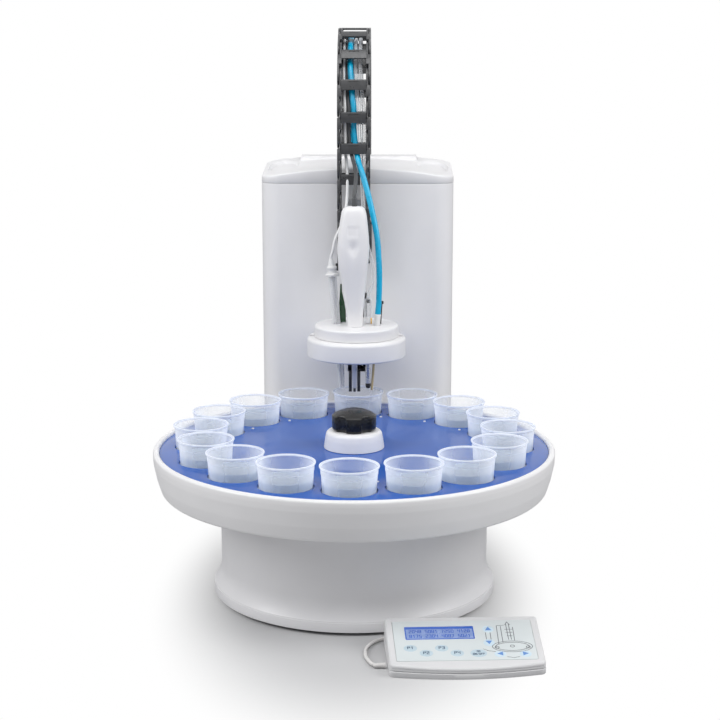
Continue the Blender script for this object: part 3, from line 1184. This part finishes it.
def sockets():
    """A round inlet with its pin, and two ports, each an insert, a metal shell and nine pins."""
    ring = [(3.0, 0, 0), (5.4, 0, 0.2), (5.4, 4.6, 0.3), (4.6, 5.0, 0.3), (3.0, 5.0, 0.3)]
    post = [(0, 0, 0), (1.0, 0, 0.1), (1.0, 4.2, 0.5), (0, 4.2, 0)]
    inlet = [turned(form, TO_BACK, (INLET_X, 360, SOCKETS_Z))
             for form in (spin(ring, 32, 3, True), spin(post, 32))]
    put("power_inlet", inlet, BLACK, "base")
    inserts, pins, shells = [], [], []
    pin, pitch, row = [(0, 0, 0), (0.5, 0, 0.1), (0.5, 5, 0.3), (0, 5, 0)], 2.77, 1.4
    for x in PORTS_X:
        inserts.append(block((x - 14.6, 357, SOCKETS_Z - 5.1), (x + 14.6, 363.4, SOCKETS_Z + 5.1), 0.8))
        wall = edge_rings(box_outline(x, SOCKETS_Z, 20, 9, 2.4), -364.9, -358, 0.2, 1)
        shells.append(turned(pierced(wall, [box_outline(x, SOCKETS_Z, 18.8, 7.8, 1.9)], 0.15), TO_FRONT))
        places = [(x + k * pitch, SOCKETS_Z + row) for k in (-2, -1, 0, 1, 2)]
        places += [(x + k * pitch, SOCKETS_Z - row) for k in (-1.5, -0.5, 0.5, 1.5)]
        pins += [turned(spin(pin, 10, 2), TO_BACK, (px, 359.4, pz)) for px, pz in places]
    put("port_inserts", inserts, BLACK, "base")
    put("port_shells", shells, STEEL, "base")
    put("port_pins", pins, GOLD, "base")


def panel_screws():
    """Six low screw heads with a round socket, three at each side of the panel."""
    head = spin([(1.2, 0, 0), (2.9, 0, 0.1), (2.9, 0.35, 0.2), (1.6, 0.9, 0.2), (1.2, 0.9, 0.1)], 24, 3, True)
    heads = [turned(head, TO_BACK, (x, PANEL_BACK - 0.1, PANEL_Z + dz)) for x in (-75, 75)
             for dz in (-133, 0, 133)]
    put("panel_screws", heads, STEEL, "base")


def power_switch():
    """Rocker: its face is hollow, y = 1.5 - (1 - (z / half) ** 2), and it narrows to its root. A
    bar and a ring are its marks."""
    half = 10.5
    z = np.linspace(half, -half, 17)
    outline = np.vstack([np.column_stack([1.5 - (1 - (z / half) ** 2), z]), [(-12, -6.9), (-12, 6.9)]])
    rocker = turned(slab(outline, -6.4, 6.4, 0.5, 2), TO_RIGHT, (SWITCH_X, 363.5, SOCKETS_Z))
    put("rocker", rocker, BLACK, "switch", ["power_switch"], 40)
    bar = block((SWITCH_X - 0.4, 364.2, 188.6), (SWITCH_X + 0.4, 364.72, 192.4), 0.2)
    ring = [np.insert(circle(SWITCH_X, 178.6, r, 24), 1, y, axis=1)
            for r, y in ((1.5, 364.2), (2.1, 364.2), (2.1, 364.68), (1.5, 364.68))]
    put("rocker_marks", [bar, hoop(ring)], PALE_INK, "switch")


# Keypad: half its width and depth, and how far its front bows out
PAD_HALF, PAD_DEEP, PAD_BOW = 77, 46, 10


def wider(points):
    """The shell is a little wider at its back, and its front runs back by 1.5 mm to the left."""
    x, y, z = np.moveaxis(np.asarray(points, float), -1, 0)
    return np.stack([1.015 * x + 0.035 * y + 0.00025 * x * y + 0.9, y - 0.02 * x, z], -1)


def pad_top(y):
    """The height of the sloped top, which rises by 14 mm from front to back."""
    return 13.0 + 14.0 * (np.asarray(y) + PAD_DEEP) / (2 * PAD_DEEP)


def on_slope(form, lift=0.3):
    """A form drawn flat, laid on the keypad's slope: its z becomes height above the face."""
    points, faces = form
    p = np.column_stack([points[:, :2], points[:, 2] + pad_top(points[:, 1]) + lift])
    return outward((on_pad(wider(p)), faces))


def pad_outline(by=0.0):
    """Straight sides and back, round corners, and a front bowed by 10 (1 - (x / half) ** 2) mm."""
    half, deep, r = PAD_HALF - by, PAD_DEEP - by, max(4 - by, 1.3)
    outline = round_rect(half, -deep, deep, r, 5)
    x = np.linspace(r - half, half - r, 42)[1:-1]
    in_front = outline[:, 1] < -deep + 1e-6
    cut = np.argmax(in_front & np.roll(in_front, -1))
    front = np.column_stack([x, np.full(40, -deep)])[::1 if outline[cut, 0] < 0 else -1]
    outline = np.vstack([outline[:cut + 1], front, outline[cut + 1:]])
    bow = np.where(outline[:, 1] < 4 - deep, PAD_BOW * (1 - (outline[:, 0] / half) ** 2), 0)
    return anticlockwise(np.column_stack([outline[:, 0], outline[:, 1] - bow]))


def keypad_base():
    """Lower shell: five levels of the outline."""
    levels = ((1.3, 0.0), (0.5, 0.3), (0, 1.3), (0, 5.6), (0.5, 6.2))
    points, faces = stack([level(pad_outline(by), z) for by, z in levels])
    put("keypad_base", (on_pad(wider(points)), faces), PAD_WHITE, "base", ["handset_base"],
        40)


def keypad_top():
    """Upper shell: a groove round its foot, the sloped top with its round edge, and the bed of the
    film, 1 mm deep."""
    edge, side = 2.3, 0.3
    levels = ((0.9, 6.5), (side, 7.0), (side, 8.9), (0.75, 9.1), (0.75, 9.5), (side, 9.7))
    rings = [level(pad_outline(by), z) for by, z in levels]
    outer = pad_outline(side)
    rings.append(level(outer, pad_top(outer[:, 1]) - edge))
    for t in np.linspace(0.25, np.pi / 2, 6):
        outer = pad_outline(side + 2.0 * (1 - math.cos(t)))
        rings.append(level(outer, pad_top(outer[:, 1]) - edge * (1 - math.sin(t))))
    bed = box_outline(0, -1.7, 139.6, 77.6, 2.2)
    high = pad_top(bed[:, 1])
    points, faces = sunk(rings[::-1], [level(bed, high), level(bed, high - 1.0)])
    put("keypad_top", (on_pad(wider(points)), faces), PAD_WHITE, "base", ["handset_top"],
        40)


def keypad_film():
    """The printed sheet in its bed."""
    sheet = slab(box_outline(0, -1.7, 139.0, 77.0, 2.0), 0, 1.0, 0.15, 2)
    put("keypad_film", on_slope(sheet, -0.7), FILM, "base", ["handset_overlay"])


# Strokes of each sign, on a field 1 wide and 2 tall
LETTERS = {"P": [[(0, 0), (0, 2), (1, 2), (1, 1), (0, 1)]], "1": [[(0.2, 1.6), (0.6, 2), (0.6, 0)]],
           "2": [[(0, 2), (1, 2), (1, 1), (0, 1), (0, 0), (1, 0)]],
           "3": [[(0, 2), (1, 2), (1, 0), (0, 0)], [(0.2, 1), (1, 1)]],
           "4": [[(0, 2), (0, 1), (1, 1)], [(1, 2), (1, 0)]], "O": [[(0, 0), (0, 2), (1, 2), (1, 0), (0, 0)]],
           "N": [[(0, 0), (0, 2), (1, 0), (1, 2)]], "F": [[(0, 0), (0, 2), (1, 2)], [(0, 1), (0.8, 1)]],
           "/": [[(0, 0), (1, 2)]], "8": [[(0, 1), (0, 2), (1, 2), (1, 0), (0, 0), (0, 1), (1, 1)]],
           "7": [[(0, 2), (1, 2), (0.4, 0)]], "0": [[(0, 0), (0, 2), (1, 2), (1, 0), (0, 0)]],
           "5": [[(1, 2), (0, 2), (0, 1), (1, 1), (1, 0), (0, 0)]]}


def stroke(points, width, lift=0.3):
    """A flat printed line with square ends: a low bar along each stretch."""
    forms = []
    for a, b in zip(points, points[1:]):
        a, b = np.asarray(a, float), np.asarray(b, float)
        along = (b - a) / max(np.linalg.norm(b - a), 1e-6)
        side = np.array([-along[1], along[0]]) * width / 2
        a, b = a - along * width / 2, b + along * width / 2
        bar = [level([a + side, a - side, b - side, b + side], z) for z in (0, 0.06)]
        forms.append(on_slope(stack(bar), lift))
    return forms


def print_text(text, middle, tall, wide, width, lift):
    """Text of plain strokes, centred on a place."""
    forms = []
    step = wide * 1.7
    for k, sign in enumerate(text):
        x = middle[0] + (k - (len(text) - 1) / 2) * step - wide / 2
        for line in LETTERS.get(sign, []):
            forms += stroke([(x + u * wide, middle[1] + (v - 1) * tall / 2) for u, v in line], width, lift)
    return forms


def key_dome(x, y, rx, ry):
    """A low dome on the film: ovals that shrink by a share, 0.45 * sin(share * 90 degrees) ** 0.6
    mm high."""
    oval = circle(0, 0, 1, 40) * [rx, ry]
    rings = [level(oval + [x, y], -0.1)]
    rings += [level(oval * (1 - share) + [x, y], 0.45 * math.sin(share * np.pi / 2) ** 0.6)
              for share in np.linspace(0, 1, 7)[:-1]]
    return on_slope(stack(rings))


def display():
    """The window's glass, its lit field and two rows of digits."""
    glass = slab(box_outline(-23.5, 12.8, 69, 25, 0.8), 0, 0.25, 0.1, 1)
    field = slab(box_outline(-23.5, 10.8, 66.5, 18.6, 0.5), 0, 0.06, 0.02, 1)
    put("display", on_slope(glass), WINDOW, "base")
    put("display_field", on_slope(field, 0.56), LIT, "base")
    rows = []
    for y, digits in ((15.6, "2048 5081 7250 4128"), (6.4, "8175 2304 4087 5021")):
        rows += print_text(digits, (-23.5, y), 5.4, 1.9, 0.75, 0.64)
    put("display_rows", rows, WINDOW, "base")


def named_keys():
    """Five domes with the names of their keys."""
    keys = [("P1", -54.5, -16.1), ("P2", -39.5, -26.0), ("P3", -23.6, -16.7), ("P4", -9.0, -26.6)]
    domes = [key_dome(x, y, 6.6, 6.4) for _, x, y in keys] + [key_dome(12.1, -27.4, 8.2, 7.4)]
    put("key_domes", domes, KEY, "base")
    names = [f for text, x, y in keys for f in print_text(text, (x, y), 4.2, 2.0, 0.7, 0.76)]
    names += print_text("00", (12.1, -24.6), 2.6, 1.1, 0.5, 0.76)
    names += print_text("ON/OFF", (12.1, -29.4), 2.8, 1.2, 0.5, 0.76)
    put("key_names", names, INK, "base")


def arrow_keys():
    """Four pale domes, each with a printed triangle that points its own way (ux, uy)."""
    keys = [(25.6, 19.0, 0, 1), (24.2, -7.6, 0, -1), (33.2, -29.6, -1, 0), (58.2, -30.0, 1, 0)]
    domes = [key_dome(x, y, *((5.6, 6.6) if uy else (5.8, 6.0))) for x, y, _, uy in keys]
    put("arrow_domes", domes, PALE_KEY, "base")
    arrows = []
    for x, y, ux, uy in keys:
        point = [(x + 3.2 * ux, y + 3.8 * uy), (x - 2.6 * ux + 3.2 * uy, y - 3.0 * uy + 3.6 * ux),
                 (x - 2.6 * ux - 3.2 * uy, y - 3.0 * uy - 3.6 * ux)]
        arrows.append(on_slope(stack([level(anticlockwise(point), z) for z in (0, 0.08)]), 0.7))
    put("arrow_print", arrows, KEY_BLUE, "base")


def line_drawing():
    """A sketch of a changer on the film: straight lines, the tray's two ovals and three rings."""
    lines = [[(34.5, 25.5), (33.6, -11)], [(34.5, 25.5), (42, 26.5)], [(38.5, 24.0), (38.0, -7.5)],
             [(50.5, 22), (50.0, -4)], [(22.4, 12), (22.2, -1.0)], [(27.0, 12), (26.8, -1.0)],
             [(17.5, -19.6), (22.5, -23.4), (29, -25.0)], [(44.2, 30), (44.2, -2)], [(47.0, 29), (47.0, -2)],
             [(42.3, 18), (49.3, 18)], [(42.8, 12), (49.0, 12)], [(43.4, 5), (48.4, 5)],
             [(45.6, 33), (43.4, 27)], [(45.6, 33), (48.0, 27)],
             [(39.8, -35.2), (45.8, -37.0), (51.6, -35.2)]]
    drawn = [bar for line in lines for bar in stroke(line, 0.7)]
    loops = [(circle(0, 0, 1, 40) * half + [46.6, -15.6], 0.75) for half in ([19.8, 10.4], [16.6, 7.8])]
    loops += [(circle(x, y, 2.0, 16), 0.7) for x, y in ((46.6, -15.0), (62.2, -17.0), (31.2, -17.0))]
    for loop, width in loops:
        drawn += stroke(np.vstack([loop, loop[:1]]), width)
    put("line_drawing", drawn, LINE, "base")


# Light and floor
def soft_lamp(name, place, aim, size, power):
    """A soft oblong lamp at a place in metres, turned towards a point."""
    lamp = bpy.data.lights.new(name, "AREA")
    lamp.shape = "RECTANGLE"
    lamp.size, lamp.size_y = size
    lamp.energy = power
    look_along(add_object(name, lamp), place, Vector(aim) - Vector(place))


def studio():
    """Big soft lamps left, right and above, and a background that is white to the camera, in
    mirrors and through clear plastic, and a dim blue grey as a light."""
    for name, side in (("lamp_left", -1), ("lamp_right", 1)):
        soft_lamp(name, (side * 1.5, -0.45, 1.25), (0, 0, 0.35), (1.0, 1.2), 18)
    soft_lamp("lamp_top", (0, -0.75, 1.9), (0, 0.1, 0.3), (1.6, 1.2), 17)
    world = bpy.data.worlds.new("studio")
    bpy.context.scene.world = world
    world.use_nodes = True
    world.node_tree.nodes.clear()
    add = adder(world.node_tree)
    seen = add("LightPath", out="Is Camera Ray")
    for kind in ("Is Transmission Ray", "Is Glossy Ray"):
        seen = add("Math", {0: seen, 1: add("LightPath", out=kind)}, operation="MAXIMUM")
    white = add("Background", {"Color": (1, 1, 1), "Strength": 1.0})
    dim = add("Background", {"Color": (0.93, 0.95, 1.0), "Strength": 0.25})
    add("OutputWorld", {"Surface": add("MixShader", {"Fac": seen, 1: dim, 2: white})})


def paper_floor():
    """White paper: grey with soft shadows near the object, and pure white for the camera further
    off, from 0.22 to 0.46 m away, where steps to the side count twice."""
    paper, tree, add = material("paper")
    tree.nodes.clear()
    squeezed = add("VectorMath", {0: add("TexCoord", out="Object"), 1: (2, 1, 0)}, operation="MULTIPLY")
    away = add("VectorMath", {0: squeezed}, "Value", operation="LENGTH")
    far = add("MapRange", {"From Min": 0.22, "From Max": 0.46, "Value": away}, "Result",
              interpolation_type="SMOOTHSTEP")
    share = add("Math", {0: add("LightPath", out="Is Camera Ray"), 1: far}, operation="MULTIPLY")
    plain = add("BsdfDiffuse", {"Color": (0.50, 0.50, 0.505)})
    white = add("Emission", {"Color": (1, 1, 1), "Strength": 1.0})
    add("OutputMaterial", {"Surface": add("MixShader", {"Fac": share, 1: plain, 2: white})})
    mesh = bpy.data.meshes.new("floor")
    mesh.from_pydata([(-6, -6, 0), (6, -6, 0), (6, 6, 0), (-6, 6, 0)], [], [(0, 1, 2, 3)])
    mesh.materials.append(paper)
    add_object("floor", mesh)


# Everything, from the cord at the bottom to the print on the keypad
make_camera()
make_cord()
tray_bowl()
tray_plate()
hub_and_knob()
cups()
base_shell()
tower_shell()
tower_cap()
holder_ring()
holder_disc()
glass_electrode()
strip_electrode()
temperature_probe()
stirrer_body()
stirrer_shaft()
dosing_tip()
chain()
hoses()
lift_arm()
rear_panel()
sockets()
panel_screws()
power_switch()
keypad_base()
keypad_top()
keypad_film()
display()
named_keys()
arrow_keys()
line_drawing()
studio()
paper_floor()

# Plain finishes of the solids inside the housings, which have no piece in their place
INSIDE = {"lead_screw": STEEL, "lift_frame": STEEL, "turntable_shaft": STEEL, "base_plate": GREY,
          "turntable_motor": GREY}
for name, plain in INSIDE.items():
    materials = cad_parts[name].data.materials
    materials.clear()
    materials.append(plain)
